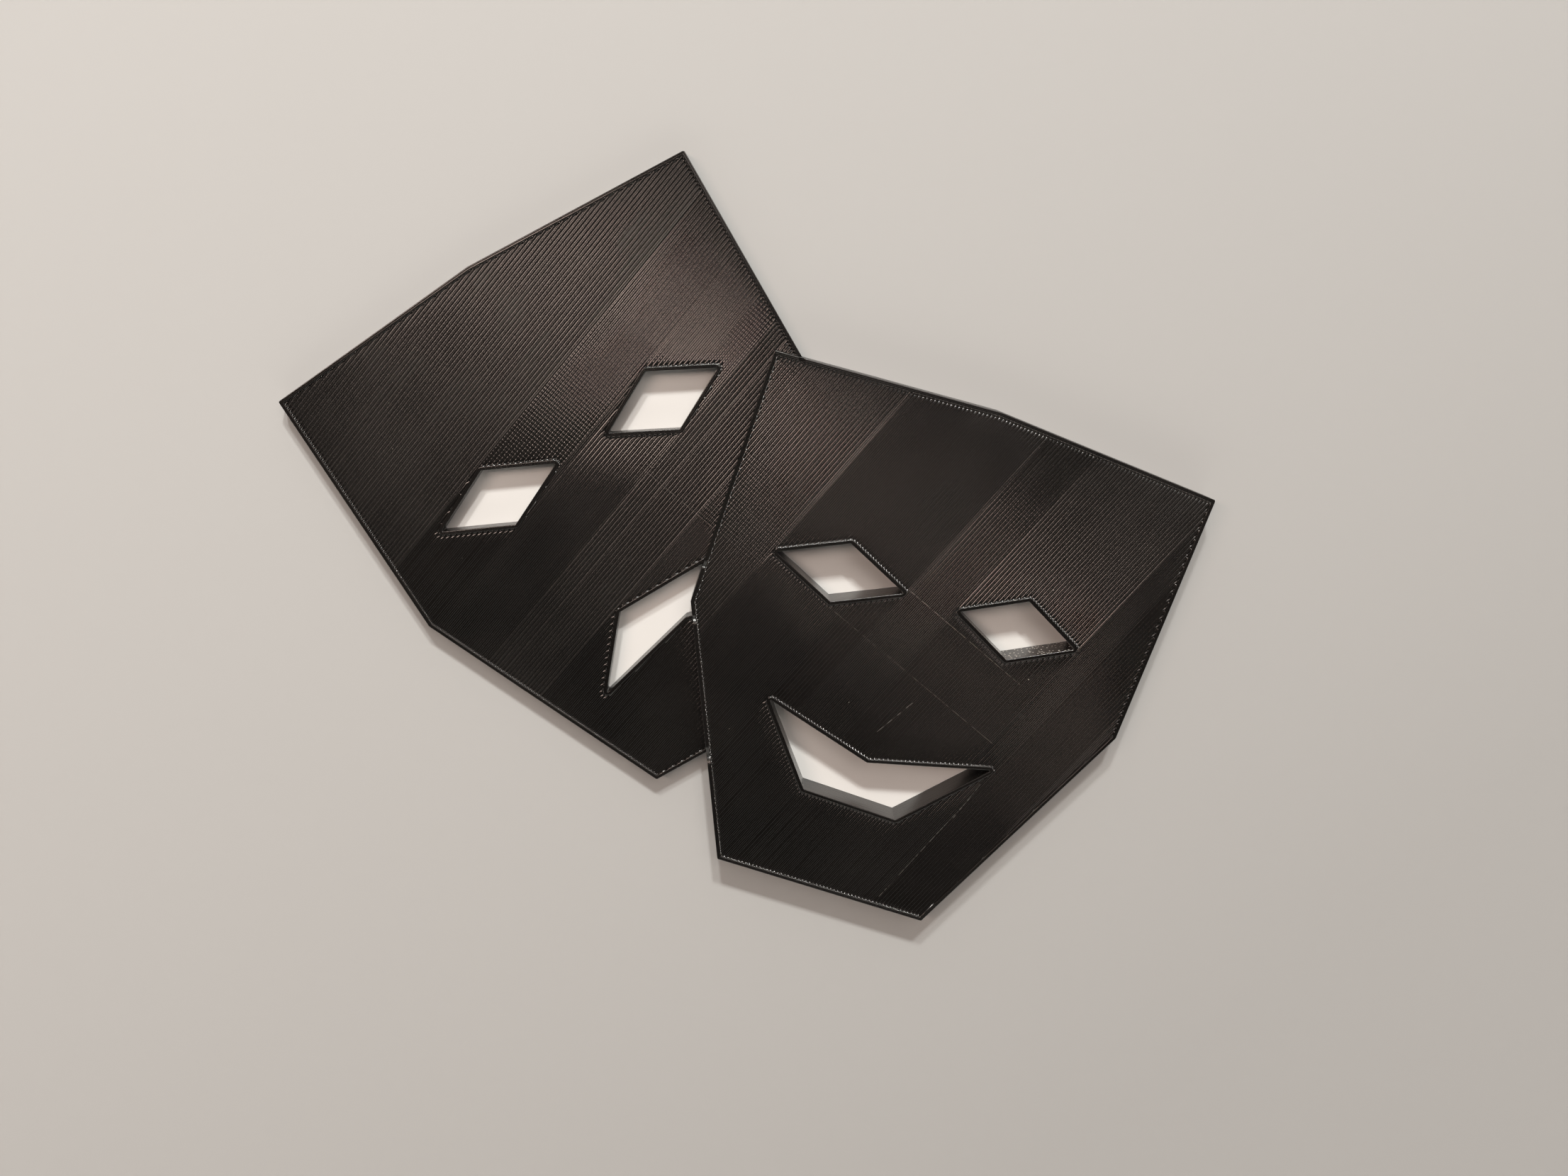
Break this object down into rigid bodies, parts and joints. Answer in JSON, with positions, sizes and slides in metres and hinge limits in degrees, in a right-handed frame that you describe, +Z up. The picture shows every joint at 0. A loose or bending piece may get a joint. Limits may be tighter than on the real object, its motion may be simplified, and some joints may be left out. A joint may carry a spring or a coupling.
{
  "type": "theatre mask wall plaque",
  "caption": "Flat black printed wall plaque of the two theatre masks, a laughing mask overlapping a weeping one, with open eyes and mouths.",
  "frame": {"origin": "the point of the flat back where the plaque is fixed to the wall", "axes": "+Y is the back's outward normal, into the wall; +Z up as hung; +X to the viewer's right; the faces look towards -Y"},
  "size_m": [0.1989, 0.007, 0.1701],
  "materials": {
    "printed_plastic": "black printed filament, satin, ruled with 0.4 mm lines"
  },
  "bodies": {
    "root": {"mask_plaque": "printed_plastic"}
  },
  "joints": []
}
